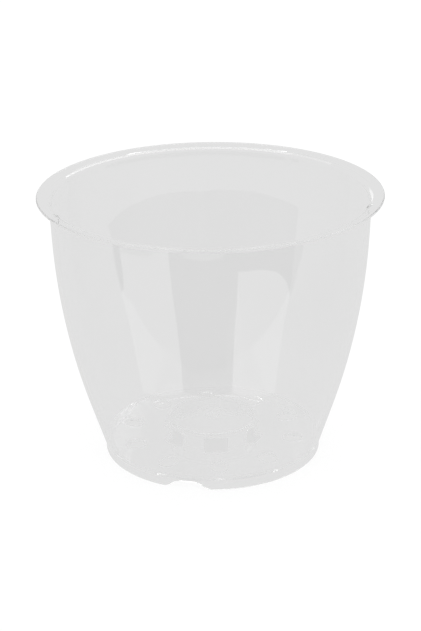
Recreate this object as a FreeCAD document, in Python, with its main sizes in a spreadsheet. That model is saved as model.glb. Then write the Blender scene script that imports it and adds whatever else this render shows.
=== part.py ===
import FreeCAD, Part
import Sketcher
import math
import os

os.makedirs("parts", exist_ok=True)

# A clear round pot for orchids, moulded in one shot. Origin at the middle of the foot on the
# ground, +Z up, and the side that faces the viewer is -Y. Azimuths turn from there towards +X.
pot = FreeCAD.newDocument("orchid_pot")

# Driving sizes, millimetres and degrees
sizes = pot.addObject("Spreadsheet::Sheet", "sizes")
driving_sizes = (
    ("pot_height", 103.6, "ground to the top of the lip"),
    ("rim_radius", 65.0, "outer radius of the lip"),
    ("wall_thickness", 0.9, "shell of the side wall and the lip, square to its face"),
    ("foot_radius", 41.9, "outer radius of the foot band"),
    ("foot_height", 2.4, "upright band at the bottom, below the flare"),
    ("foot_wall", 1.0, "radial thickness of the foot band at the ground"),
    ("cone_top", 20.0, "height where the straight lower flare starts to curve"),
    ("upper_slope", 2.4, "lean of the wall from upright, near the lip"),
    ("upper_run", 14.4, "least height of the nearly upright stretch under the lip"),
    ("rim_bend", 1.5, "hollow radius under the lip"),
    ("rim_slope", 11.0, "rise of the lip from level, towards its edge"),
    ("lip_width", 3.17, "flat stretch of the lip, from the bend to the rounded edge"),
    ("rim_skirt", 2.0, "straight stretch of wall that belongs to the rim"),
    ("floor_height", 5.0, "ground to the upper face of the floor"),
    ("floor_thickness", 1.2, "thickness of the floor"),
    ("notch_count", 3, "arched notches in the foot"),
    ("notch_azimuth", -13.8, "middle of the first notch"),
    ("notch_crown", 4.0, "level stretch at the top of a notch"),
    ("notch_ramp", 8.5, "run of each curved end of a notch, along the ground"),
    ("notch_height", 3.1, "ground to the top of a notch"),
    ("notch_dip", 0.2, "how far under the ground a notch's curve starts"),
    ("hole_count", 10, "drainage holes in the floor"),
    ("hole_azimuth", 4.2, "middle of the first drainage hole"),
    ("hole_margin", 4.8, "floor between a drainage hole and the foot band"),
    ("hole_width", 6.0, "drainage hole across"),
    ("hole_straight", 1.8, "straight sides of a drainage hole, along the radius"),
    ("hub_radius", 17.5, "outer radius of the raised hub"),
    ("hub_height", 6.6, "floor to the top of the hub"),
    ("hub_wall", 1.0, "side wall of the hub"),
    ("hub_roof", 1.0, "top plate of the hub"),
    ("hub_edge", 0.8, "rounding round the top of the hub"),
    ("slot_count", 6, "slots round the hub"),
    ("slot_azimuth", 4.2, "middle of the first slot"),
    ("slot_width", 9.0, "slot across"),
    ("slot_height", 4.7, "floor to the top of a slot"),
    ("slot_corner", 1.2, "rounding of a slot's upper corners"),
    ("slot_reach", 2.3, "how far a slot runs out into the floor, from the hub's side"),
    ("gate_radius", 2.8, "injection mark on the hub"),
    ("gate_height", 0.4, "injection mark above the hub"),
    ("lug_count", 5, "stacking lugs under the lip"),
    ("lug_azimuth", 4.2, "middle of the first lug"),
    ("lug_width", 2.6, "lug across"),
    ("lug_depth", 0.6, "how far a lug stands in from the wall"),
    ("lug_height", 2.4, "length of a lug down the wall, below the bend"),
    ("lug_taper", 1.2, "slanted lower end of a lug"),
)
for row, (alias, value, meaning) in enumerate(driving_sizes, start=1):
    sizes.set(f"A{row}", alias)
    sizes.set(f"B{row}", str(value))
    sizes.set(f"C{row}", meaning)
    sizes.setAlias(f"B{row}", alias)
pot.recompute()

# Places that follow from the driving sizes, from the lip downwards. The lip is two parallel faces
# that end in a half-round edge and turn about one centre into the nearly upright upper wall.
places = pot.addObject("App::FeaturePython", "places")


def place(name, expression):
    """Adds one worked-out length to the document, bound to the sizes that it follows from."""
    places.addProperty("App::PropertyFloat", name)
    places.setExpression(name, expression)


place("edge_round", "sizes.wall_thickness / 2")
place("inner_rim_bend", "sizes.rim_bend + sizes.wall_thickness")
place("middle_rim_bend", "sizes.rim_bend + edge_round")
place("edge_centre_radius", "sizes.rim_radius - edge_round")
place("edge_centre_height", "sizes.pot_height - edge_round")
place(
    "rim_centre_radius",
    "edge_centre_radius + middle_rim_bend * sin(sizes.rim_slope)"
    " - sizes.lip_width * cos(sizes.rim_slope)",
)
place(
    "rim_centre_height",
    "edge_centre_height - middle_rim_bend * cos(sizes.rim_slope)"
    " - sizes.lip_width * sin(sizes.rim_slope)",
)
place("rim_bend_foot", "rim_centre_height + sizes.rim_bend * sin(sizes.upper_slope)")
place("rim_bend_foot_radius", "rim_centre_radius - sizes.rim_bend * cos(sizes.upper_slope)")
place("inner_rim_foot", "rim_centre_height + inner_rim_bend * sin(sizes.upper_slope)")
place("inner_rim_foot_radius", "rim_centre_radius - inner_rim_bend * cos(sizes.upper_slope)")
place("lip_root", "rim_centre_height + sizes.rim_bend * cos(sizes.rim_slope)")
place("lip_root_radius", "rim_centre_radius - sizes.rim_bend * sin(sizes.rim_slope)")
place("inner_lip_root", "rim_centre_height + inner_rim_bend * cos(sizes.rim_slope)")
place("inner_lip_root_radius", "rim_centre_radius - inner_rim_bend * sin(sizes.rim_slope)")

# The wall's outer face is a cone, a long arc and a steeper cone, all tangent. The two cones
# would meet at the shoulder, halfway between the cone's top and the upright stretch.
place("shoulder", "(sizes.cone_top + rim_bend_foot - sizes.upper_run) / 2")
place(
    "shoulder_radius",
    "rim_bend_foot_radius - (rim_bend_foot - shoulder) * tan(sizes.upper_slope)",
)
place(
    "lower_slope",
    "atan((shoulder_radius - sizes.foot_radius) / (shoulder - sizes.foot_height))",
)
place("shoulder_reach", "(shoulder - sizes.cone_top) / cos(lower_slope)")
place("bend_radius", "shoulder_reach / tan((lower_slope - sizes.upper_slope) / 2)")
place("inner_bend_radius", "bend_radius - sizes.wall_thickness")
place("bend_top", "shoulder + shoulder_reach * cos(sizes.upper_slope)")
place("bend_top_radius", "shoulder_radius + shoulder_reach * sin(sizes.upper_slope)")
place("bend_top_bore", "bend_top_radius - sizes.wall_thickness * cos(sizes.upper_slope)")
place("bend_top_inside", "bend_top + sizes.wall_thickness * sin(sizes.upper_slope)")
place(
    "cone_top_radius",
    "sizes.foot_radius + (sizes.cone_top - sizes.foot_height) * tan(lower_slope)",
)
place("cone_top_bore", "cone_top_radius - sizes.wall_thickness * cos(lower_slope)")
place("cone_top_inside", "sizes.cone_top + sizes.wall_thickness * sin(lower_slope)")
place("seam_height", "rim_bend_foot - sizes.rim_skirt")
place("seam_radius", "rim_bend_foot_radius - sizes.rim_skirt * tan(sizes.upper_slope)")
place("seam_bore", "seam_radius - sizes.wall_thickness / cos(sizes.upper_slope)")

# The foot and the floor
place("floor_underside", "sizes.floor_height - sizes.floor_thickness")
place("foot_bore", "sizes.foot_radius - sizes.foot_wall")
place(
    "wall_foot_radius",
    "sizes.foot_radius + (sizes.floor_height - sizes.foot_height) * tan(lower_slope)",
)
place("wall_foot_bore", "wall_foot_radius - sizes.wall_thickness / cos(lower_slope)")
place("hole_half_width", "sizes.hole_width / 2")
place("hole_ring_radius", "foot_bore - sizes.hole_margin - hole_half_width - sizes.hole_straight / 2")

# The hub, the lugs and the notches
place("hub_bore", "sizes.hub_radius - sizes.hub_wall")
place("hub_top", "sizes.floor_height + sizes.hub_height")
place("slot_top", "sizes.floor_height + sizes.slot_height")
place("lug_face_radius", "inner_rim_foot_radius - sizes.lug_depth")
place("lug_foot", "inner_rim_foot - sizes.lug_height")
place("lug_foot_radius", "inner_rim_foot_radius - sizes.lug_height * tan(sizes.upper_slope)")
place("notch_half_crown", "sizes.notch_crown / 2")
place("notch_half_width", "notch_half_crown + sizes.notch_ramp")
place("notch_rise", "sizes.notch_height + sizes.notch_dip")
place("notch_bend", "(sizes.notch_ramp * sizes.notch_ramp + notch_rise * notch_rise) / (4 * notch_rise)")
pot.recompute()


def number(expression):
    """The present value of an expression of sizes and places."""
    return float(sizes.evalExpression(expression))


def new_body(name):
    """An empty body for one piece of the moulding."""
    body = pot.addObject("PartDesign::Body", name)
    body.Label = name
    body.AllowCompound = True
    body.Placement = FreeCAD.Placement()
    return body


def origin_part(body, role):
    """One of a body's own origin planes or axes."""
    return next(part for part in body.Origin.OriginFeatures if part.Role == role)


def arc_centre(start, end, radius, side):
    """Centre of the arc from start to end, on the left (1) or the right (-1) of that way."""
    across, up = end[0] - start[0], end[1] - start[1]
    chord = math.hypot(across, up)
    offset = side * math.sqrt(max(radius * radius - chord * chord / 4, 0.0)) / chord
    return (start[0] + end[0]) / 2 - up * offset, (start[1] + end[1]) / 2 + across * offset


def arc_between(start, end, radius, side):
    """The short arc from start to end, which a sketch keeps anticlockwise about its centre."""
    centre = arc_centre(start, end, radius, side)
    first, last = (start, end) if side > 0 else (end, start)
    first_angle = math.atan2(first[1] - centre[1], first[0] - centre[0])
    last_angle = math.atan2(last[1] - centre[1], last[0] - centre[0])
    if last_angle < first_angle:
        last_angle += 2 * math.pi
    circle = Part.Circle(FreeCAD.Vector(*centre, 0), FreeCAD.Vector(0, 0, 1), radius)
    return Part.ArcOfCircle(circle, first_angle, last_angle)


def hold(sketch, direction, edge, end, expression):
    """Holds one end of an edge at a distance from the sketch's origin, or on its axis at 0."""
    if expression == "0":
        axis = -2 if direction == "DistanceX" else -1
        sketch.addConstraint(Sketcher.Constraint("PointOnObject", edge, end, axis))
        return
    distance = Sketcher.Constraint(direction, -1, 1, edge, end, number(expression))
    index = sketch.addConstraint(distance)
    sketch.setExpression(f"Constraints[{index}]", expression)


def closed_outline(body, name, plane, corners, turn="0"):
    """A closed sketch on one of the body's planes, turned about the pot's axis by an angle.

    A corner is (across, up, bend). bend is None where a straight line leads to the next
    corner, and (radius, side) where an arc does, with its centre on that side of the way."""
    sketch = body.newObject("Sketcher::SketchObject", name)
    sketch.AttachmentSupport = [(origin_part(body, plane), "")]
    sketch.MapMode = "FlatFace"
    pot_axis = "0; 0; 1" if plane == "XY_Plane" else "0; 1; 0"
    offset = f"placement(vector(0; 0; 0); rotation(vector({pot_axis}); {turn}))"
    sketch.setExpression("AttachmentOffset", offset)
    spots = [(number(across), number(up)) for across, up, bend in corners]
    ends = []
    for start, end, corner in zip(spots, spots[1:] + spots[:1], corners):
        bend = corner[2]
        if bend is None:
            sketch.addGeometry(Part.LineSegment(FreeCAD.Vector(*start, 0), FreeCAD.Vector(*end, 0)))
            ends.append((1, 2))
        else:
            radius, side = bend
            sketch.addGeometry(arc_between(start, end, number(radius), side))
            ends.append((1, 2) if side > 0 else (2, 1))
    for edge, (across, up, bend) in enumerate(corners):
        following = (edge + 1) % len(corners)
        joint = Sketcher.Constraint("Coincident", edge, ends[edge][1], following, ends[following][0])
        sketch.addConstraint(joint)
        hold(sketch, "DistanceX", edge, ends[edge][0], across)
        hold(sketch, "DistanceY", edge, ends[edge][0], up)
        if bend is not None:
            index = sketch.addConstraint(Sketcher.Constraint("Radius", edge, number(bend[0])))
            sketch.setExpression(f"Constraints[{index}]", bend[0])
    return sketch


def turned(body, name, corners, angle="360", turn="0"):
    """A solid turned from an outline of (radius, height), evenly either side of its plane."""
    sketch = closed_outline(body, name + "_profile", "XZ_Plane", corners, turn)
    feature = body.newObject("PartDesign::Revolution", name)
    feature.Profile = sketch
    feature.ReferenceAxis = (sketch, ["V_Axis"])
    feature.Midplane = True
    feature.setExpression("Angle", angle)
    body.Tip = feature
    pot.recompute()
    return feature


def repeated(body, feature, count):
    """Repeats a feature evenly about the pot's axis."""
    pattern = body.newObject("PartDesign::PolarPattern", feature.Name + "_round")
    pattern.Originals = [feature]
    pattern.Axis = (origin_part(body, "Z_Axis"), [""])
    pattern.Angle = 360
    pattern.setExpression("Occurrences", count)
    body.Tip = pattern
    pot.recompute()
    return pattern


def cut_round(body, name, plane, corners, count, turn):
    """Cuts an outline away, from its plane towards -Y or +Z, and repeats the cut evenly."""
    sketch = closed_outline(body, name + "_profile", plane, corners, turn)
    whole = body.Shape.Volume
    cut = body.newObject("PartDesign::Pocket", name)
    cut.Profile = sketch
    cut.Type = "ThroughAll"
    cut.Reversed = True
    pot.recompute()
    one_cut = whole - cut.Shape.Volume
    pattern = repeated(body, cut, count)
    all_cuts = whole - pattern.Shape.Volume
    print(f"{body.Label}: one {name} takes {one_cut:.2f} mm3, all of them {all_cuts:.2f} mm3")
    if one_cut <= 0:
        raise RuntimeError(f"{name} cuts nothing from {body.Label}")


# Foot ring: the band that the pot stands on, up to the level of the floor's upper face. Its
# outside is upright, then flares as the wall does. The notches let water and air out below.
foot_ring = new_body("foot_ring")
turned(foot_ring, "band", (
    ("places.foot_bore", "0", None),
    ("sizes.foot_radius", "0", None),
    ("sizes.foot_radius", "sizes.foot_height", None),
    ("places.wall_foot_radius", "sizes.floor_height", None),
    ("places.foot_bore", "sizes.floor_height", None),
))
ramp_middle = "(places.notch_half_crown + sizes.notch_ramp / 2)"
ramp_half_way = "sizes.notch_height - places.notch_rise / 2"
cut_round(foot_ring, "notch", "XZ_Plane", (
    ("-places.notch_half_width", "-sizes.notch_dip", None),
    ("places.notch_half_width", "-sizes.notch_dip", ("places.notch_bend", -1)),
    (ramp_middle, ramp_half_way, ("places.notch_bend", 1)),
    ("places.notch_half_crown", "sizes.notch_height", None),
    ("-places.notch_half_crown", "sizes.notch_height", ("places.notch_bend", 1)),
    ("-" + ramp_middle, ramp_half_way, ("places.notch_bend", -1)),
), "sizes.notch_count", "sizes.notch_azimuth")

# Side wall: from the floor's level up to the rim's skirt, one thickness all the way.
side_wall = new_body("side_wall")
turned(side_wall, "shell", (
    ("places.wall_foot_radius", "sizes.floor_height", None),
    ("places.cone_top_radius", "sizes.cone_top", ("places.bend_radius", 1)),
    ("places.bend_top_radius", "places.bend_top", None),
    ("places.seam_radius", "places.seam_height", None),
    ("places.seam_bore", "places.seam_height", None),
    ("places.bend_top_bore", "places.bend_top_inside", ("places.inner_bend_radius", -1)),
    ("places.cone_top_bore", "places.cone_top_inside", None),
    ("places.wall_foot_bore", "sizes.floor_height", None),
))

# Rim: a short skirt that carries on the wall, a tight bend outwards, and the lip with its
# half-round edge, drawn as two quarter arcs.
edge_across = "places.edge_round * cos(sizes.rim_slope)"
edge_up = "places.edge_round * sin(sizes.rim_slope)"
edge_radius = "places.edge_centre_radius"
edge_height = "places.edge_centre_height"
rim = new_body("rim")
turned(rim, "lip", (
    ("places.seam_radius", "places.seam_height", None),
    ("places.rim_bend_foot_radius", "places.rim_bend_foot", ("sizes.rim_bend", -1)),
    ("places.lip_root_radius", "places.lip_root", None),
    (f"{edge_radius} + {edge_up}", f"{edge_height} - {edge_across}", ("places.edge_round", 1)),
    (f"{edge_radius} + {edge_across}", f"{edge_height} + {edge_up}", ("places.edge_round", 1)),
    (f"{edge_radius} - {edge_up}", f"{edge_height} + {edge_across}", None),
    ("places.inner_lip_root_radius", "places.inner_lip_root", ("places.inner_rim_bend", 1)),
    ("places.inner_rim_foot_radius", "places.inner_rim_foot", None),
    ("places.seam_bore", "places.seam_height", None),
))

# Floor plate: a flat ring inside the foot, open in the middle under the hub. The drainage
# holes are longer along the radius, and the hub's slots run out into it.
floor_plate = new_body("floor_plate")
turned(floor_plate, "plate", (
    ("places.hub_bore", "places.floor_underside", None),
    ("places.foot_bore", "places.floor_underside", None),
    ("places.foot_bore", "sizes.floor_height", None),
    ("places.hub_bore", "sizes.floor_height", None),
))
half_hole = "places.hole_half_width"
hole_near = "-places.hole_ring_radius + sizes.hole_straight / 2"
hole_far = "-places.hole_ring_radius - sizes.hole_straight / 2"
cut_round(floor_plate, "drainage_hole", "XY_Plane", (
    (half_hole, hole_far, None),
    (half_hole, hole_near, (half_hole, 1)),
    ("0", f"{hole_near} + {half_hole}", (half_hole, 1)),
    ("-" + half_hole, hole_near, None),
    ("-" + half_hole, hole_far, (half_hole, 1)),
    ("0", f"{hole_far} - {half_hole}", (half_hole, 1)),
), "sizes.hole_count", "sizes.hole_azimuth")
half_slot = "sizes.slot_width / 2"
slot_shoulder = f"{half_slot} - sizes.slot_corner"
slot_end = "-sizes.hub_radius - sizes.slot_reach"
slot_root = "-places.hub_bore / 2"
cut_round(floor_plate, "slot_end", "XY_Plane", (
    (f"-({slot_shoulder})", slot_end, None),
    (slot_shoulder, slot_end, ("sizes.slot_corner", 1)),
    (half_slot, f"{slot_end} + sizes.slot_corner", None),
    (half_slot, slot_root, None),
    ("-" + half_slot, slot_root, None),
    ("-" + half_slot, f"{slot_end} + sizes.slot_corner", ("sizes.slot_corner", 1)),
), "sizes.slot_count", "sizes.slot_azimuth")

# Centre hub: an upturned cup on the floor, open below. Its slots start at the floor, so it
# stands on the tabs between them.
centre_hub = new_body("centre_hub")
turned(centre_hub, "cup", (
    ("places.hub_bore", "sizes.floor_height", None),
    ("sizes.hub_radius", "sizes.floor_height", None),
    ("sizes.hub_radius", "places.hub_top - sizes.hub_edge", ("sizes.hub_edge", 1)),
    ("sizes.hub_radius - sizes.hub_edge", "places.hub_top", None),
    ("0", "places.hub_top", None),
    ("0", "places.hub_top - sizes.hub_roof", None),
    ("places.hub_bore", "places.hub_top - sizes.hub_roof", None),
))
cut_round(centre_hub, "slot", "XZ_Plane", (
    ("-" + half_slot, "places.floor_underside", None),
    (half_slot, "places.floor_underside", None),
    (half_slot, "places.slot_top - sizes.slot_corner", ("sizes.slot_corner", 1)),
    (slot_shoulder, "places.slot_top", None),
    (f"-({slot_shoulder})", "places.slot_top", ("sizes.slot_corner", 1)),
    ("-" + half_slot, "places.slot_top - sizes.slot_corner", None),
), "sizes.slot_count", "sizes.slot_azimuth")

# Gate mark: the low round pad where the plastic entered the mould, with a bevelled edge.
gate_mark = new_body("gate_mark")
turned(gate_mark, "pad", (
    ("0", "places.hub_top", None),
    ("sizes.gate_radius", "places.hub_top", None),
    ("sizes.gate_radius", "places.hub_top + sizes.gate_height / 2", None),
    ("sizes.gate_radius - sizes.gate_height / 2", "places.hub_top + sizes.gate_height", None),
    ("0", "places.hub_top + sizes.gate_height", None),
))

# Stacking lugs: small blocks in the hollow of the rim's bend that run a little way down the
# wall and taper out there, so that pots put one in another don't jam.
stacking_lugs = new_body("stacking_lugs")
lug_taper_top = "places.lug_foot + sizes.lug_taper"
lug = turned(stacking_lugs, "lug", (
    ("places.lug_foot_radius", "places.lug_foot", None),
    ("places.inner_rim_foot_radius", "places.inner_rim_foot", ("places.inner_rim_bend", -1)),
    ("places.inner_lip_root_radius", "places.inner_lip_root", None),
    ("places.lug_face_radius", "places.inner_lip_root", None),
    ("places.lug_face_radius", lug_taper_top, None),
), "sizes.lug_width / (2 * pi * places.inner_rim_foot_radius) * 360", "sizes.lug_azimuth - 90")
repeated(stacking_lugs, lug, "sizes.lug_count")

# Nothing is written unless every object of the document is sound.
bodies = (foot_ring, side_wall, rim, floor_plate, centre_hub, gate_mark, stacking_lugs)
pot.recompute()
for item in pot.Objects:
    if "Invalid" in item.State or "Error" in item.State:
        raise RuntimeError(f"{item.Label} failed: {item.State}")
for body in bodies:
    if body.Shape.isNull() or not body.Shape.isValid():
        raise RuntimeError(f"{body.Label} has no valid shape")
for body in bodies:
    body.Shape.exportStep(f"parts/{body.Label}.step")
    box = body.Shape.BoundBox
    print(f"{body.Label}: {len(body.Shape.Solids)} solid(s), {body.Shape.Volume:.1f} mm3, "
          f"height {box.ZMin:.2f} to {box.ZMax:.2f}, reach {box.XMax:.2f}")
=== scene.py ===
import bmesh
import bpy
import math
from mathutils import Euler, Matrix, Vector
from mathutils.geometry import interpolate_bezier


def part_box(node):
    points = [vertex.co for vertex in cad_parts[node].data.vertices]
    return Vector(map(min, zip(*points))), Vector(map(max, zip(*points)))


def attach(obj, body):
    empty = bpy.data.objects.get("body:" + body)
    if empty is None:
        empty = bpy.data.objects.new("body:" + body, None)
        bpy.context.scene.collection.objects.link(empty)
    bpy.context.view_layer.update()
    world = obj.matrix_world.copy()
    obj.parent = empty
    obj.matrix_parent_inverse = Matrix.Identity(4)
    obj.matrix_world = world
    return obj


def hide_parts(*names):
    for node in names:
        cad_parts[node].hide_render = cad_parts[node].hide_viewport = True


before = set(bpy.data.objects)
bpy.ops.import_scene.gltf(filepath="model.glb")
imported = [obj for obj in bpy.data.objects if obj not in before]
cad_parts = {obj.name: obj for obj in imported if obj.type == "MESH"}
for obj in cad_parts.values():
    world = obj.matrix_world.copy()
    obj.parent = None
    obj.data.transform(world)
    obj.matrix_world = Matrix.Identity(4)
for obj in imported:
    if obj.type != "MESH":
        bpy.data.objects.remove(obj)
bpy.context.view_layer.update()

# Side wall
# The tulip-shaped wall of a clear plant pot, injection moulded in one shot with everything else
# on it. It is 0.9 mm thick: a cone, a long curve and a nearly upright top, one running into the
# next. The pot is one moulding, so where two of its pieces join there is no face between them.
wall_thickness = 0.0009
floor_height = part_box("side_wall")[0].z
wall_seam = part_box("side_wall")[1].z
foot_radius = 0.0419
foot_height = 0.0024
cone_top = 0.020
upper_slope = math.radians(2.4)
upper_run = 0.0144
pot_height = 0.1036
rim_radius = 0.065
rim_slope = math.radians(11)
rim_bend = 0.0015
lip_width = 0.00317
edge_round = wall_thickness / 2
middle_bend = rim_bend + edge_round
rim_centre = (
    rim_radius - edge_round + middle_bend * math.sin(rim_slope) - lip_width * math.cos(rim_slope),
    pot_height - edge_round - middle_bend * math.cos(rim_slope) - lip_width * math.sin(rim_slope),
)
neck = (
    rim_centre[0] - rim_bend * math.cos(upper_slope),
    rim_centre[1] + rim_bend * math.sin(upper_slope),
)
shoulder_height = (cone_top + neck[1] - upper_run) / 2
shoulder_radius = neck[0] - (neck[1] - shoulder_height) * math.tan(upper_slope)
lower_slope = math.atan2(shoulder_radius - foot_radius, shoulder_height - foot_height)
shoulder_reach = (shoulder_height - cone_top) / math.cos(lower_slope)
wall_bend = shoulder_reach / math.tan((lower_slope - upper_slope) / 2)
lug_count = 5
lug_azimuth = math.radians(4.2)
lug_half_width = 0.0013
lug_half_turn = lug_half_width / (rim_centre[0] - rim_bend - wall_thickness)
lug_steps = 8
lug_drop = 0.0024
lug_foot = rim_centre[1] + (rim_bend + wall_thickness) * math.sin(upper_slope) - lug_drop
lean_start = 0.090
lean_rate = math.radians(1.0) / 0.010
heel_start = 0.0225
heel_rate = math.radians(1.8) / 0.017


def turned_spot(radius, azimuth, height):
    """A point at a radius and height; azimuths turn from the front, -Y, towards +X."""
    return Vector((radius * math.sin(azimuth), -radius * math.cos(azimuth), height))


def straight(start, end, steps):
    """Points of a straight stretch of an outline, without its last one."""
    shares = [step / steps for step in range(steps)]
    return [tuple(a + (b - a) * share for a, b in zip(start, end)) for share in shares]


def round_bend(centre, radius, start_angle, end_angle, steps):
    """Points of a round stretch of an outline, both ends included."""
    turn = (end_angle - start_angle) / steps
    angles = [start_angle + turn * step for step in range(steps + 1)]
    return [(centre[0] + radius * math.cos(a), centre[1] + radius * math.sin(a)) for a in angles]


def mould_azimuths(steps_between_lugs=88):
    """Azimuths of the moulding's mesh columns, which lie closer together at the stacking lugs."""
    pitch = 2 * math.pi / lug_count
    gap = pitch - 2 * lug_half_turn
    azimuths = []
    for lug in range(lug_count):
        start = lug_azimuth + lug * pitch - lug_half_turn
        azimuths += [start + 2 * lug_half_turn * step / lug_steps for step in range(lug_steps)]
        start += 2 * lug_half_turn
        azimuths += [start + gap * step / steps_between_lugs for step in range(steps_between_lugs)]
    return azimuths


mould_columns = mould_azimuths()
columns_per_lug = len(mould_columns) // lug_count


def behind_lug(column):
    """Whether the face from this column to the next is covered by a stacking lug."""
    return column % columns_per_lug < lug_steps


def sweep(mesh, columns, spots_at, keep=None):
    """Skins the rows of spots that each column gives, facing right of the outline's way."""
    rows = [[mesh.verts.new(spot) for spot in spots_at(column)] for column in columns]
    for index, (here, there) in enumerate(zip(rows, rows[1:] + rows[:1])):
        for row in range(len(here) - 1):
            if keep is None or keep(index, row):
                mesh.faces.new((here[row], there[row], there[row + 1], here[row + 1]))


def sweep_outline(mesh, outline, keep=None):
    """Skins an outline of (radius, height) all the way round the pot."""
    sweep(
        mesh, mould_columns,
        lambda azimuth: [turned_spot(radius, azimuth, height) for radius, height in outline],
        keep,
    )


def clear_plastic():
    """Clear styrene with a faint grey cast, glossy, and rippled a little by the mould."""
    material = bpy.data.materials.new("clear_plastic")
    material.use_nodes = True
    nodes, links = material.node_tree.nodes, material.node_tree.links
    shader = nodes["Principled BSDF"]
    shader.inputs["IOR"].default_value = 1.49
    shader.inputs["Transmission Weight"].default_value = 1.0
    places = nodes.new("ShaderNodeTexCoord")
    cloud = nodes.new("ShaderNodeTexNoise")
    cloud.inputs["Scale"].default_value = 22.0
    cloud.inputs["Detail"].default_value = 3.0
    tint = nodes.new("ShaderNodeValToRGB")
    tint.color_ramp.elements[0].position = 0.35
    tint.color_ramp.elements[0].color = (0.984, 0.984, 0.984, 1)
    tint.color_ramp.elements[1].position = 0.65
    tint.color_ramp.elements[1].color = (0.994, 0.994, 0.994, 1)
    gloss = nodes.new("ShaderNodeMapRange")
    gloss.inputs["To Min"].default_value = 0.0
    gloss.inputs["To Max"].default_value = 0.03
    ripple = nodes.new("ShaderNodeTexNoise")
    ripple.inputs["Scale"].default_value = 90.0
    ripple.inputs["Detail"].default_value = 2.0
    bump = nodes.new("ShaderNodeBump")
    bump.inputs["Strength"].default_value = 0.25
    bump.inputs["Distance"].default_value = 0.00004
    links.new(places.outputs["Object"], cloud.inputs["Vector"])
    links.new(places.outputs["Object"], ripple.inputs["Vector"])
    links.new(cloud.outputs["Fac"], tint.inputs["Fac"])
    links.new(tint.outputs["Color"], shader.inputs["Base Color"])
    links.new(cloud.outputs["Fac"], gloss.inputs["Value"])
    links.new(gloss.outputs["Result"], shader.inputs["Roughness"])
    links.new(ripple.outputs["Fac"], bump.inputs["Height"])
    links.new(bump.outputs["Normal"], shader.inputs["Normal"])
    return material


plastic = clear_plastic()
weld_distance = 0.000001
sharp_edge = math.radians(32)


def moulded(mesh, name, node):
    """Makes a finished piece of the moulding, which stands for its CAD node."""
    bmesh.ops.remove_doubles(mesh, verts=mesh.verts, dist=weld_distance)
    loose = [vert for vert in mesh.verts if not vert.link_faces]
    bmesh.ops.delete(mesh, geom=loose, context="VERTS")
    data = bpy.data.meshes.new(name)
    mesh.to_mesh(data)
    mesh.free()
    data.materials.append(plastic)
    data.shade_smooth()
    data.set_sharp_from_angle(angle=sharp_edge)
    piece = bpy.data.objects.new(name, data)
    bpy.context.scene.collection.objects.link(piece)
    flats_first = piece.modifiers.new("flats_first", "WEIGHTED_NORMAL")
    flats_first.keep_sharp = True
    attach(piece, "root")
    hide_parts(node)
    return piece


def bowed(radius, height, inset):
    """A spot of the wall, which leans in a little at the rim and thickens inwards at its heel."""
    radius -= lean_rate * max(0.0, height - lean_start) ** 2 / 2
    if inset > 0:
        radius -= heel_rate * (max(0.0, heel_start - height) / math.cos(lower_slope)) ** 2 / 2
    return radius, height


def wall_face(inset):
    """The wall's outline from the floor up to the rim, this far inside its outer face."""
    cone_run = (cone_top - foot_height) * math.tan(lower_slope)
    low_bend = (
        foot_radius + cone_run - inset * math.cos(lower_slope),
        cone_top + inset * math.sin(lower_slope),
    )
    bend_centre = (
        low_bend[0] - (wall_bend - inset) * math.cos(lower_slope),
        low_bend[1] + (wall_bend - inset) * math.sin(lower_slope),
    )
    foot = (low_bend[0] - (low_bend[1] - floor_height) * math.tan(lower_slope), floor_height)
    bend = round_bend(bend_centre, wall_bend - inset, -lower_slope, -upper_slope, 30)
    rise = math.tan(upper_slope)
    lug_end = (bend[-1][0] + (lug_foot - bend[-1][1]) * rise, lug_foot)
    seam = (bend[-1][0] + (wall_seam - bend[-1][1]) * rise, wall_seam)
    outline = straight(foot, low_bend, 10) + bend[:-1] + straight(bend[-1], lug_end, 12)
    return [bowed(r, z, inset) for r, z in outline + [lug_end, seam]]


outer_wall = wall_face(0.0)
inner_wall = wall_face(wall_thickness)[::-1]
wall_mesh = bmesh.new()
sweep_outline(wall_mesh, outer_wall)
sweep_outline(wall_mesh, inner_wall, lambda column, row: row > 0 or not behind_lug(column))
moulded(wall_mesh, "side_wall_shell", "side_wall")

# Rim
# The lip at the top of the same moulding. The wall turns outwards through a tight bend and runs
# on as a flat lip that rises a little towards its rounded edge, which stiffens the pot.
inner_bend = rim_bend + wall_thickness
edge_centre = (rim_radius - edge_round, pot_height - edge_round)
lean = lean_rate * (neck[1] - lean_start)
bend_centre = (rim_centre[0] - lean * (neck[1] - lean_start) / 2, rim_centre[1])
neck_angle = math.pi - upper_slope + lean
lip_angle = math.pi / 2 + rim_slope
under_bend = round_bend(bend_centre, rim_bend, neck_angle, lip_angle, 12)
lip_edge = round_bend(edge_centre, edge_round, lip_angle - math.pi, lip_angle, 28)
over_bend = round_bend(bend_centre, inner_bend, lip_angle, neck_angle, 14)
lip_outline = (
    [outer_wall[-1]]
    + under_bend
    + straight(under_bend[-1], lip_edge[0], 4)[1:]
    + lip_edge
    + straight(lip_edge[-1], over_bend[0], 4)[1:]
    + over_bend
    + [inner_wall[0]]
)
first_lug_row = len(lip_outline) - len(over_bend) - 1
rim_mesh = bmesh.new()
sweep_outline(
    rim_mesh, lip_outline,
    lambda column, row: row < first_lug_row or not behind_lug(column),
)
moulded(rim_mesh, "rim_lip", "rim")

# Stacking lugs
# Small rounded ribs inside the rim's bend, part of the same moulding. They run a little way down
# the wall and fade out there, so that pots put one in another come apart again.
lug_depth = 0.0006
lug_reach = 0.0003
lug_taper = 0.0012
lug_face_radius = over_bend[-1][0] - lug_depth
taper_end = lug_foot + lug_taper
taper_share = (taper_end - inner_wall[0][1]) / (over_bend[-1][1] - inner_wall[0][1])
taper_radius = inner_wall[0][0] + (over_bend[-1][0] - inner_wall[0][0]) * taper_share
behind_rib = over_bend + [(taper_radius, taper_end)] + inner_wall[:2]


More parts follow.
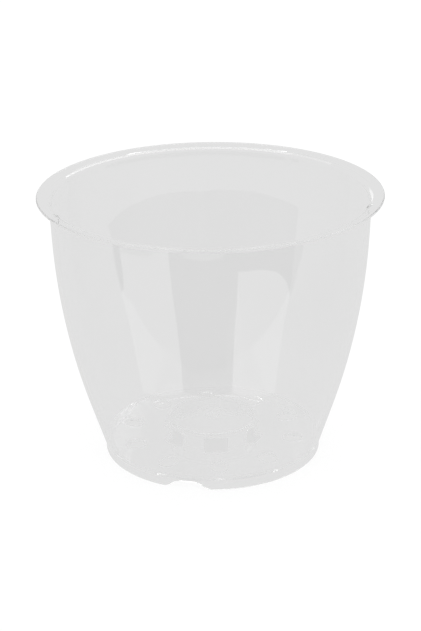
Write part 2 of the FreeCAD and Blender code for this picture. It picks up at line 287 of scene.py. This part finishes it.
def turn_from_nearest(azimuth, first, count):
    """Turn to an azimuth from the nearest of some features that are evenly spaced."""
    pitch = 2 * math.pi / count
    return (azimuth - first + pitch / 2) % pitch - pitch / 2


def rib_spots(azimuth):
    """Spots down the face of the nearest rib, which swells smoothly out of the moulding."""
    turn = turn_from_nearest(azimuth, lug_azimuth, lug_count)
    swell = (1 + math.cos(math.pi * min(1.0, abs(turn) / lug_half_turn))) / 2
    spots = [turned_spot(over_bend[0][0], azimuth, over_bend[0][1])]
    for radius, height in behind_rib:
        fade = min(1.0, (height - lug_foot) / lug_taper)
        depth = min(lug_reach, max(0.0, radius - lug_face_radius)) * swell * fade
        spots.append(turned_spot(radius - depth, azimuth, height))
    return spots


lug_mesh = bmesh.new()
sweep(lug_mesh, mould_columns, rib_spots, lambda column, row: behind_lug(column))
moulded(lug_mesh, "stacking_lug_blocks", "stacking_lugs")

# Foot ring
# The short upright band that the pot stands on, below the floor. Three arched notches in it let
# water and air out. It flares into the wall above, and its lower edges are softly rounded.
foot_thickness = 0.001
foot_bore = foot_radius - foot_thickness
floor_thickness = 0.0012
floor_underside = floor_height - floor_thickness
notch_count = 3
notch_azimuth = math.radians(-13.8)
notch_crown = 0.002
notch_ramp = 0.0085
notch_height = 0.0031
notch_root = 0.0002
notch_rise = notch_height + notch_root
notch_bend = (notch_ramp ** 2 + notch_rise ** 2) / (4 * notch_rise)
foot_edge = 0.00022
flare_blend = 0.0005


def foot_underside(radius, azimuth):
    """Height of the foot's lower edge: the ground, or the curve of a notch."""
    turn = turn_from_nearest(azimuth, notch_azimuth, notch_count)
    run = abs(radius * math.sin(turn)) - notch_crown
    if run <= 0:
        return notch_height
    if run >= notch_ramp or abs(turn) > 1:
        return 0.0
    if run <= notch_ramp / 2:
        return notch_height - notch_bend + math.sqrt(notch_bend ** 2 - run ** 2)
    rest = notch_ramp - run
    return max(0.0, notch_height - notch_rise + notch_bend - math.sqrt(notch_bend ** 2 - rest ** 2))


def foot_face_radius(height):
    """Radius of the foot's outer face: upright, then the wall's flare, softly joined."""
    above = height - foot_height
    if above <= -flare_blend:
        return foot_radius
    if above < flare_blend:
        return foot_radius + math.tan(lower_slope) * (above + flare_blend) ** 2 / (4 * flare_blend)
    return foot_radius + above * math.tan(lower_slope)


def quarter_turns(steps):
    """Angles over a quarter of a turn, both ends included."""
    return [step * math.pi / (2 * steps) for step in range(steps + 1)]


def foot_outline(azimuth):
    """The foot's outline at one azimuth, from the floor's underside round to the wall."""
    inner_low = foot_underside(foot_bore, azimuth)
    outer_low = foot_underside(foot_radius, azimuth)
    outer_radius = foot_face_radius(outer_low + foot_edge)
    quarter = quarter_turns(4)
    outline = [(foot_bore, floor_underside)]
    outline += [
        (foot_bore + foot_edge * (1 - math.cos(a)), inner_low + foot_edge * (1 - math.sin(a)))
        for a in quarter
    ]
    outline += [
        (outer_radius - foot_edge * (1 - math.sin(a)), outer_low + foot_edge * (1 - math.cos(a)))
        for a in quarter
    ]
    for step in range(-2, 3):
        height = max(foot_height + flare_blend * step / 2, outer_low + foot_edge)
        outline.append((foot_face_radius(height), height))
    outline.append(outer_wall[0])
    return outline


foot_mesh = bmesh.new()
sweep(
    foot_mesh, mould_columns,
    lambda azimuth: [turned_spot(r, azimuth, z) for r, z in foot_outline(azimuth)],
)
sweep_outline(foot_mesh, [inner_wall[-1], (foot_bore, floor_height)])
moulded(foot_mesh, "foot_band", "foot_ring")

# Floor plate
# The flat floor, 1.2 mm thick and raised off the ground, with a ring of ten drainage holes whose
# edges are rounded. The slots of the hub run out into it, and its middle is open below the hub.
hole_count = 10
hole_azimuth = math.radians(4.2)
hole_half_width = 0.003
hole_straight = 0.0018
hole_margin = 0.0048
hole_ring_radius = foot_bore - hole_margin - hole_half_width - hole_straight / 2
hole_end_steps = 14
hole_edge = 0.00025
hub_radius = 0.0175
hub_thickness = 0.001
hub_bore = hub_radius - hub_thickness
slot_count = 6
slot_azimuth = math.radians(4.2)
slot_half_width = 0.0045
slot_corner = 0.0012
slot_reach = 0.0023
slot_end = hub_radius + slot_reach
slot_corner_steps = 6
tab_steps = 12


def spaced(first, count, index):
    """Azimuth of one of some features that are evenly spaced round the pot."""
    return first + index * 2 * math.pi / count


def beside(azimuth, across, out, height):
    """A point this far out along an azimuth and this far across it."""
    return turned_spot(out, azimuth, height) + turned_spot(across, azimuth + math.pi / 2, 0)


def add_face(mesh, corners, outward):
    """A face of the moulding that looks along outward, away from the plastic."""
    face = mesh.faces.new([mesh.verts.new(corner) for corner in corners])
    face.normal_update()
    if face.normal.dot(outward) < 0:
        face.normal_flip()


def hole_loop(azimuth, half_width, height):
    """Points round a drainage hole, which is longer along the radius."""
    loop = []
    for end in (1, -1):
        for step in range(hole_end_steps + 1):
            angle = math.pi * step / hole_end_steps
            across = end * half_width * math.cos(angle)
            out = hole_ring_radius + end * (hole_straight / 2 + half_width * math.sin(angle))
            loop.append(beside(azimuth, across, out, height))
    return loop


def slot_outline():
    """(across, out) round the end of a slot in the floor, from the hub's bore and back to it."""
    near = math.sqrt(hub_bore ** 2 - slot_half_width ** 2)
    beyond = math.sqrt(hub_radius ** 2 - slot_half_width ** 2)
    centre = (slot_half_width - slot_corner, slot_end - slot_corner)
    corner = round_bend(centre, slot_corner, math.pi / 2, 0, slot_corner_steps)
    right = corner + [(slot_half_width, beyond), (slot_half_width, near)]
    return [(-across, out) for across, out in right[::-1]] + right


def tab_azimuths(slot, radius):
    """Azimuths along the tab of floor between a slot and the next one, without its ends."""
    half = math.asin(slot_half_width / radius)
    start = spaced(slot_azimuth, slot_count, slot) + half
    turn = 2 * math.pi / slot_count - 2 * half
    return [start + turn * step / tab_steps for step in range(1, tab_steps)]


def floor_face(mesh, height, radius, slot_part, upward):
    """The floor's upper or lower face, with its holes open."""
    loops = [[turned_spot(foot_bore, azimuth, height) for azimuth in mould_columns]]
    middle = []
    for slot in range(slot_count):
        azimuth = spaced(slot_azimuth, slot_count, slot)
        middle += [beside(azimuth, across, out, height) for across, out in slot_part]
        middle += [turned_spot(radius, turn, height) for turn in tab_azimuths(slot, radius)]
    loops.append(middle)
    for hole in range(hole_count):
        azimuth = spaced(hole_azimuth, hole_count, hole)
        loops.append(hole_loop(azimuth, hole_half_width + hole_edge, height))
    edges = []
    for loop in loops:
        corners = [mesh.verts.new(spot) for spot in loop]
        edges += [mesh.edges.new(pair) for pair in zip(corners, corners[1:] + corners[:1])]
    filled = bmesh.ops.triangle_fill(mesh, edges=edges, use_beauty=True)["geom"]
    for face in filled:
        if isinstance(face, bmesh.types.BMFace):
            face.normal_update()
            if (face.normal.z > 0) != upward:
                face.normal_flip()


floor_mesh = bmesh.new()
slot_shape = slot_outline()
floor_face(floor_mesh, floor_height, hub_radius, slot_shape[1:-1], True)
floor_face(floor_mesh, floor_underside, hub_bore, slot_shape, False)
edge_spots = [
    (hole_edge * (1 - math.sin(a)), hole_edge * (1 - math.cos(a))) for a in quarter_turns(3)
]
hole_rows = [(hole_half_width + out, floor_height - inside) for out, inside in edge_spots]
hole_rows += [(hole_half_width + out, floor_underside + inside) for out, inside in edge_spots[::-1]]
for hole in range(hole_count):
    azimuth = spaced(hole_azimuth, hole_count, hole)
    middle = turned_spot(hole_ring_radius, azimuth, (floor_height + floor_underside) / 2)
    loops = [hole_loop(azimuth, half_width, height) for half_width, height in hole_rows]
    for upper, lower in zip(loops, loops[1:]):
        for index in range(len(upper)):
            following = (index + 1) % len(upper)
            corners = (upper[index], upper[following], lower[following], lower[index])
            add_face(floor_mesh, corners, middle - corners[0])
for slot in range(slot_count):
    azimuth = spaced(slot_azimuth, slot_count, slot)
    middle = turned_spot(hub_radius, azimuth, floor_height)
    for (across, out), (next_across, next_out) in zip(slot_shape, slot_shape[1:]):
        corners = [
            beside(azimuth, across, out, floor_height),
            beside(azimuth, next_across, next_out, floor_height),
            beside(azimuth, next_across, next_out, floor_underside),
            beside(azimuth, across, out, floor_underside),
        ]
        add_face(floor_mesh, corners, middle - corners[0])
    half = math.asin(slot_half_width / hub_bore)
    turns = [azimuth + half, *tab_azimuths(slot, hub_bore)]
    turns.append(azimuth + 2 * math.pi / slot_count - half)
    for turn, next_turn in zip(turns, turns[1:]):
        corners = [
            turned_spot(hub_bore, turn, floor_height),
            turned_spot(hub_bore, next_turn, floor_height),
            turned_spot(hub_bore, next_turn, floor_underside),
            turned_spot(hub_bore, turn, floor_underside),
        ]
        add_face(floor_mesh, corners, -turned_spot(1, turn, 0))
moulded(floor_mesh, "drained_floor", "floor_plate")

# Centre hub
# An upturned cup in the middle of the floor, of the same moulding, that leads air up into the
# roots. It stands on six tabs, and between them its side is open in slots with rounded corners.
hub_top = floor_height + 0.0066
hub_roof = 0.001
hub_edge = 0.0008
slot_top = floor_height + 0.0047
slot_station = 0.0011
roof_ring = 0.6
gate_radius = 0.0028


def hub_columns():
    """Mesh columns as (slot, across, share): across a slot, or a share of the way over a tab."""
    corner = [slot_corner * math.sin(turn) for turn in quarter_turns(slot_corner_steps)]
    right = [slot_half_width - slot_corner + run for run in corner]
    between = [slot_station * step for step in range(-2, 3)]
    stations = [-across for across in right[::-1]] + between + right
    columns = []
    for slot in range(slot_count):
        columns += [(slot, across, None) for across in stations]
        columns += [(slot, None, step / tab_steps) for step in range(1, tab_steps)]
    return columns


def hub_azimuth(column, radius):
    """Azimuth of a column of the hub on a face of this radius; the slots' sides are parallel."""
    slot, across, share = column
    middle = spaced(slot_azimuth, slot_count, slot)
    if across is not None:
        return middle + math.asin(across / radius)
    half = math.asin(slot_half_width / radius)
    return middle + half + share * (2 * math.pi / slot_count - 2 * half)


def slot_crown(column):
    """Height of the top of a slot at this column, or of its corners' lower ends on a tab."""
    across = column[1]
    run = slot_corner if across is None else max(0.0, abs(across) - slot_half_width + slot_corner)
    return slot_top - slot_corner + math.sqrt(max(0.0, slot_corner ** 2 - run ** 2))


def hub_outside(column):
    """Spots up the hub's side, over its rounded edge and in along its roof to the gate mark."""
    azimuth = hub_azimuth(column, hub_radius)
    side = [(hub_radius, floor_height), (hub_radius, slot_crown(column))]
    edge_centre = (hub_radius - hub_edge, hub_top - hub_edge)
    edge = round_bend(edge_centre, hub_edge, 0, math.pi / 2, 8)
    roof = [(hub_radius * roof_ring, hub_top), (gate_radius, hub_top)]
    return [turned_spot(radius, azimuth, height) for radius, height in side + edge + roof]


def hub_inside(column):
    """Spots along the underside of the hub's roof and down the inside of its wall."""
    azimuth = hub_azimuth(column, hub_bore)
    under_roof = hub_top - hub_roof
    inside = [(0, under_roof), (hub_bore / 2, under_roof), (hub_bore, under_roof)]
    inside += [(hub_bore, slot_crown(column)), (hub_bore, floor_height)]
    return [turned_spot(radius, azimuth, height) for radius, height in inside]


columns_of_hub = hub_columns()
columns_per_slot = len(columns_of_hub) // slot_count
tab_start = columns_per_slot - tab_steps


def on_tab(index):
    """Whether the face from this column to the next one is on a tab."""
    return index % columns_per_slot >= tab_start


hub_mesh = bmesh.new()
sweep(hub_mesh, columns_of_hub, hub_outside, lambda index, row: row > 0 or on_tab(index))
sweep(hub_mesh, columns_of_hub, hub_inside, lambda index, row: row < 3 or on_tab(index))
for index, column in enumerate(columns_of_hub):
    following = columns_of_hub[(index + 1) % len(columns_of_hub)]
    azimuth = spaced(slot_azimuth, slot_count, column[0])
    middle = turned_spot(hub_radius, azimuth, floor_height)
    if not on_tab(index):
        corners = [
            turned_spot(radius, hub_azimuth(end, radius), slot_crown(end))
            for radius, end in (
                (hub_radius, column), (hub_radius, following),
                (hub_bore, following), (hub_bore, column),
            )
        ]
        add_face(hub_mesh, corners, middle - corners[0])
    if column[1] is not None and abs(column[1]) > slot_half_width - weld_distance:
        corners = [
            turned_spot(radius, hub_azimuth(column, radius), height)
            for radius, height in (
                (hub_radius, floor_height), (hub_bore, floor_height),
                (hub_bore, slot_crown(column)), (hub_radius, slot_crown(column)),
            )
        ]
        add_face(hub_mesh, corners, middle - corners[0])
moulded(hub_mesh, "hub_cup", "centre_hub")

# Gate mark
# The low round pad on the hub where the plastic entered the mould, with a bevelled edge and a
# shallow dimple in the middle where the sprue was cut off.
gate_height = 0.0004
gate_bevel = gate_height / 2
gate_top = hub_top + gate_height
dimple_radius = 0.0011
dimple_floor_radius = 0.0008
dimple_depth = 0.00025
gate_outline = [
    (gate_radius, hub_top),
    (gate_radius, gate_top - gate_bevel),
    (gate_radius - gate_bevel, gate_top),
    (dimple_radius, gate_top),
    (dimple_floor_radius, gate_top - dimple_depth * 0.8),
    (0, gate_top - dimple_depth),
]
gate_mesh = bmesh.new()
sweep(
    gate_mesh, columns_of_hub,
    lambda column: [turned_spot(r, hub_azimuth(column, hub_radius), z) for r, z in gate_outline],
)
moulded(gate_mesh, "gate_pad", "gate_mark")

# Floor under the pot
# A plain matt table that runs on out of sight. The camera sees it white, with a faint shadow of
# the pot, and the plastic shows it in the pale grey of the room. A painted shadow in its glow
# makes it a little darker under the hub, for a look that passes the wall and then an opening, as
# through the hub's slots.
table_reach = 6.0
table_corners = [(-1, -1), (1, -1), (1, 1), (-1, 1)]
glow_for_camera = 0.93
glow_in_plastic = 0.748
shaded_for_camera = 0.10
shaded_in_plastic = 0.02
# Painted shadow: how far the table's glow drops under the hub, and the radii over which it fades.
painted_hub_shade = 0.038
painted_shade_start = 0.019
painted_shade_end = 0.024


def math_node(nodes, operation, *values):
    """A math node of this operation, with the values of its inputs from the second on."""
    node = nodes.new("ShaderNodeMath")
    node.operation = operation
    for place, value in enumerate(values, 1):
        node.inputs[place].default_value = value
    return node


def white_table():
    """A matt surface, white to the camera and pale grey in the plastic and its gloss."""
    material = bpy.data.materials.new("white_table")
    material.use_nodes = True
    nodes, links = material.node_tree.nodes, material.node_tree.links
    nodes.clear()
    output = nodes.new("ShaderNodeOutputMaterial")
    path = nodes.new("ShaderNodeLightPath")
    plain = nodes.new("ShaderNodeBsdfDiffuse")
    plain.inputs["Color"].default_value = (0.8, 0.8, 0.8, 1)
    shaded = nodes.new("ShaderNodeBsdfDiffuse")
    glow = nodes.new("ShaderNodeEmission")
    seen = nodes.new("ShaderNodeAddShader")
    choice = nodes.new("ShaderNodeMixShader")
    shaded_more = shaded_for_camera - shaded_in_plastic
    shadow_share = math_node(nodes, "MULTIPLY_ADD", shaded_more, shaded_in_plastic)
    links.new(path.outputs["Is Camera Ray"], shadow_share.inputs[0])
    links.new(shadow_share.outputs["Value"], shaded.inputs["Color"])
    glow_more = glow_for_camera - glow_in_plastic
    brightness = math_node(nodes, "MULTIPLY_ADD", glow_more, glow_in_plastic)
    links.new(path.outputs["Is Camera Ray"], brightness.inputs[0])
    # Painted shadow: the glow is lowered in a soft disc under the hub, only for looks through one
    # wall.
    places = nodes.new("ShaderNodeTexCoord")
    from_axis = nodes.new("ShaderNodeVectorMath")
    from_axis.operation = "LENGTH"
    painted_shade_under_hub = nodes.new("ShaderNodeMapRange")
    painted_shade_under_hub.interpolation_type = "SMOOTHSTEP"
    painted_shade_under_hub.inputs["From Min"].default_value = painted_shade_start
    painted_shade_under_hub.inputs["From Max"].default_value = painted_shade_end
    painted_shade_under_hub.inputs["To Min"].default_value = painted_hub_shade
    painted_shade_under_hub.inputs["To Max"].default_value = 0.0
    one_wall = math_node(nodes, "LESS_THAN", 2.5)
    shade = math_node(nodes, "MULTIPLY")
    strength = math_node(nodes, "SUBTRACT")
    links.new(places.outputs["Object"], from_axis.inputs[0])
    links.new(from_axis.outputs["Value"], painted_shade_under_hub.inputs["Value"])
    links.new(path.outputs["Transmission Depth"], one_wall.inputs[0])
    links.new(painted_shade_under_hub.outputs["Result"], shade.inputs[0])
    links.new(one_wall.outputs["Value"], shade.inputs[1])
    links.new(brightness.outputs["Value"], strength.inputs[0])
    links.new(shade.outputs["Value"], strength.inputs[1])
    links.new(strength.outputs["Value"], glow.inputs["Strength"])
    camera_or_gloss = math_node(nodes, "MAXIMUM")
    any_look = math_node(nodes, "MAXIMUM")
    links.new(path.outputs["Is Camera Ray"], camera_or_gloss.inputs[0])
    links.new(path.outputs["Is Glossy Ray"], camera_or_gloss.inputs[1])
    links.new(camera_or_gloss.outputs["Value"], any_look.inputs[0])
    links.new(path.outputs["Is Transmission Ray"], any_look.inputs[1])
    links.new(shaded.outputs["BSDF"], seen.inputs[0])
    links.new(glow.outputs["Emission"], seen.inputs[1])
    links.new(any_look.outputs["Value"], choice.inputs["Fac"])
    links.new(plain.outputs["BSDF"], choice.inputs[1])
    links.new(seen.outputs["Shader"], choice.inputs[2])
    links.new(choice.outputs["Shader"], output.inputs["Surface"])
    return material


table_mesh = bmesh.new()
table_mesh.faces.new(
    [table_mesh.verts.new((x * table_reach, y * table_reach, 0)) for x, y in table_corners]
)
table_data = bpy.data.meshes.new("table")
table_mesh.to_mesh(table_data)
table_mesh.free()
table_data.materials.append(white_table())
table = bpy.data.objects.new("table", table_data)
bpy.context.scene.collection.objects.link(table)

# Studio cards
# Boards round the pot, as on a product photographer's table. They cast no shadow, and only a
# reflection in the plastic shows them: no straight look, no look through the plastic, and no
# light that has run a long way inside its edges, where they would leave nothing but grain.
dark_board = 0.38
bright_board = 1.1
board_height = 0.001
top_board_height = 0.0012
deepest_look = 8.5


def card(name, rows, strength):
    """A board between rows of spots, which shows only in the plastic's reflections."""
    mesh = bmesh.new()
    edges = [[mesh.verts.new(spot) for spot in row] for row in rows]
    for lower, upper in zip(edges, edges[1:]):
        for index in range(len(lower) - 1):
            mesh.faces.new((lower[index], lower[index + 1], upper[index + 1], upper[index]))
    data = bpy.data.meshes.new(name)
    mesh.to_mesh(data)
    mesh.free()
    material = bpy.data.materials.new(name)
    material.use_nodes = True
    nodes, links = material.node_tree.nodes, material.node_tree.links
    nodes.clear()
    output = nodes.new("ShaderNodeOutputMaterial")
    board = nodes.new("ShaderNodeEmission")
    board.inputs["Strength"].default_value = strength
    clear = nodes.new("ShaderNodeBsdfTransparent")
    path = nodes.new("ShaderNodeLightPath")
    reflected = math_node(nodes, "GREATER_THAN", 0.5)
    early = math_node(nodes, "LESS_THAN", deepest_look)
    both = math_node(nodes, "MULTIPLY")
    shown = nodes.new("ShaderNodeMixShader")
    links.new(path.outputs["Glossy Depth"], reflected.inputs[0])
    links.new(path.outputs["Ray Depth"], early.inputs[0])
    links.new(reflected.outputs["Value"], both.inputs[0])
    links.new(early.outputs["Value"], both.inputs[1])
    links.new(both.outputs["Value"], shown.inputs["Fac"])
    links.new(clear.outputs["BSDF"], shown.inputs[1])
    links.new(board.outputs["Emission"], shown.inputs[2])
    links.new(shown.outputs["Shader"], output.inputs["Surface"])
    data.materials.append(material)
    board_object = bpy.data.objects.new(name, data)
    bpy.context.scene.collection.objects.link(board_object)
    board_object.visible_camera = False
    board_object.visible_diffuse = False
    board_object.visible_shadow = False


room_reach = 2.5
room_height = 0.655
room_middle = math.radians(2.2)
room_half_turn = math.radians(70)
room_left_end = math.radians(-78)
room_right_end = math.radians(91)
room_start = 0.343
room_start_narrowing = 0.014
room_arch = 2.5
room_taper = 3
room_steps = 60


def near_edge(turn):
    """Radius at which the dark part of the room begins, at a turn from its middle."""
    return room_start - room_start_narrowing * abs(turn) / math.radians(90)


def far_edge(turn):
    """Radius and height at which the dark part of the room ends, at a turn from its middle."""
    if abs(turn) < room_half_turn:
        rise = 1 - (abs(turn) / room_half_turn) ** room_arch
        return room_reach, board_height + room_height * rise
    last_turn = room_right_end if turn > 0 else -room_left_end
    share = min(1.0, (abs(turn) - room_half_turn) / (last_turn - room_half_turn))
    reach = (room_reach - near_edge(turn)) * (1 - share) ** room_taper
    return near_edge(turn) + reach, board_height


room_turns = [
    room_left_end + (room_right_end - room_left_end) * step / room_steps
    for step in range(room_steps + 1)
]
card("dark_room_ahead", [
    [turned_spot(near_edge(turn), room_middle + turn, board_height) for turn in room_turns],
    [turned_spot(far_edge(turn)[0], room_middle + turn, board_height) for turn in room_turns],
    [turned_spot(far_edge(turn)[0], room_middle + turn, far_edge(turn)[1]) for turn in room_turns],
], dark_board)
edge_steps = 12


def bent_edge(start, first_pull, second_pull, end):
    """Spots along an edge on the table, as (x, y), which bends towards two pulls on its way."""
    return interpolate_bezier(start, first_pull, second_pull, end, edge_steps + 1)


def flat_card(name, edges, strength, height=board_height):
    """A board that lies just above the table, between two edges of (x, y)."""
    card(name, [[Vector((x, y, height)) for x, y in edge] for edge in edges], strength)


left_outer_edge = bent_edge((-0.276, -0.119), (-0.183, -0.097), (-0.156, -0.118), (-0.064, -0.063))
left_inner_edge = bent_edge((-0.138, -0.270), (-0.098, -0.210), (-0.056, -0.157), (-0.029, -0.089))
right_inner_edge = bent_edge((0.091, -0.292), (0.067, -0.225), (0.038, -0.160), (0.020, -0.091))
right_outer_edge = bent_edge((0.262, -0.137), (0.157, -0.135), (0.142, -0.133), (0.058, -0.068))
flat_card("left_reflector", (left_outer_edge, left_inner_edge), bright_board)
flat_card("dark_flag_ahead", (left_inner_edge, right_inner_edge), dark_board)
flat_card("right_reflector", (right_inner_edge, right_outer_edge), bright_board)
flat_card("dark_flag_right", (
    bent_edge((0.072, -0.249), (0.116, -0.238), (0.171, -0.211), (0.177, -0.161))
    + bent_edge((0.177, -0.161), (0.175, -0.146), (0.168, -0.135), (0.155, -0.127))[1:],
    bent_edge((0.091, -0.292), (0.157, -0.273), (0.240, -0.203), (0.262, -0.137))
    + bent_edge((0.262, -0.137), (0.241, -0.135), (0.219, -0.134), (0.197, -0.135))[1:],
), dark_board, top_board_height)
flat_card("dark_flag_left", (
    bent_edge((-0.182, -0.111), (-0.201, -0.138), (-0.241, -0.130), (-0.266, -0.147)),
    bent_edge((-0.182, -0.105), (-0.213, -0.112), (-0.246, -0.106), (-0.276, -0.119)),
), dark_board, top_board_height)
strip_height = 0.9
strip_tilts = (math.radians(47), math.radians(64))
strip_steps = 36
look_down = math.radians(24)


def mirrored_up(azimuth, tilt):
    """Where the camera's look goes, at the strip's height, off a rim face of this tilt."""
    look = Vector((0, math.cos(look_down), -math.sin(look_down)))
    up = look.reflect(turned_spot(-math.cos(tilt), azimuth, math.sin(tilt)))
    rise = strip_height - pot_height
    return turned_spot(rim_centre[0], azimuth, pot_height) + up * rise / up.z


def strip_card(name, first, last, strength):
    """A strip light overhead that follows the rim's bend from one azimuth to another."""
    steps = range(strip_steps + 1)
    turns = [math.radians(first + (last - first) * step / strip_steps) for step in steps]
    card(name, [[mirrored_up(turn, tilt) for turn in turns] for tilt in strip_tilts], strength)


strip_card("strip_light_above", 150, 247, 2.2)
strip_card("strip_light_end", 129, 150, 1.25)
window_distance = 1.5
window_turns = [math.radians(-174 + 2 * step) for step in range(8)]
card("window_behind", [
    [turned_spot(window_distance, turn, height) for turn in window_turns] for height in (0.15, 0.5)
], 1.2)

# Light and camera
# An even white room, which the plastic and its gloss show in pale grey, and the camera at the
# photograph's distance, height and angle.
room_in_plastic = 0.765
world = bpy.data.worlds.new("white_room")
bpy.context.scene.world = world
world.use_nodes = True
room_nodes, room_links = world.node_tree.nodes, world.node_tree.links
room_light = room_nodes["Background"]
room_light.inputs["Color"].default_value = (1, 1, 1, 1)
room_path = room_nodes.new("ShaderNodeLightPath")
seen_in_plastic = math_node(room_nodes, "MAXIMUM")
room_strength = math_node(room_nodes, "MULTIPLY_ADD", room_in_plastic - 1.0, 1.0)
room_links.new(room_path.outputs["Is Glossy Ray"], seen_in_plastic.inputs[0])
room_links.new(room_path.outputs["Is Transmission Ray"], seen_in_plastic.inputs[1])
room_links.new(seen_in_plastic.outputs["Value"], room_strength.inputs[0])
room_links.new(room_strength.outputs["Value"], room_light.inputs["Strength"])

picture_height = 631.0
focal_length = 1756.0
film_height = 36.0
camera_dip = math.radians(22.11)
camera_turn = math.radians(0.035)
camera_lean = math.radians(-0.602)
camera_data = bpy.data.cameras.new("camera")
camera_data.sensor_fit = "VERTICAL"
camera_data.sensor_height = film_height
camera_data.lens = film_height * focal_length / picture_height
camera_data.clip_start = 0.01
camera = bpy.data.objects.new("camera", camera_data)
camera.location = (0.0, -0.6256, 0.3076)
camera_tilt = Euler((math.pi / 2 - camera_dip, 0, camera_turn)).to_matrix()
camera_roll = Euler((0, 0, camera_lean)).to_matrix()
camera.rotation_euler = (camera_tilt @ camera_roll).to_euler()
bpy.context.scene.collection.objects.link(camera)
bpy.context.scene.camera = camera
bpy.context.scene.view_settings.view_transform = "Standard"
longest_path = 1024
light_paths = bpy.context.scene.cycles
light_paths.max_bounces = longest_path
light_paths.glossy_bounces = longest_path
light_paths.transmission_bounces = longest_path
light_paths.diffuse_bounces = 32
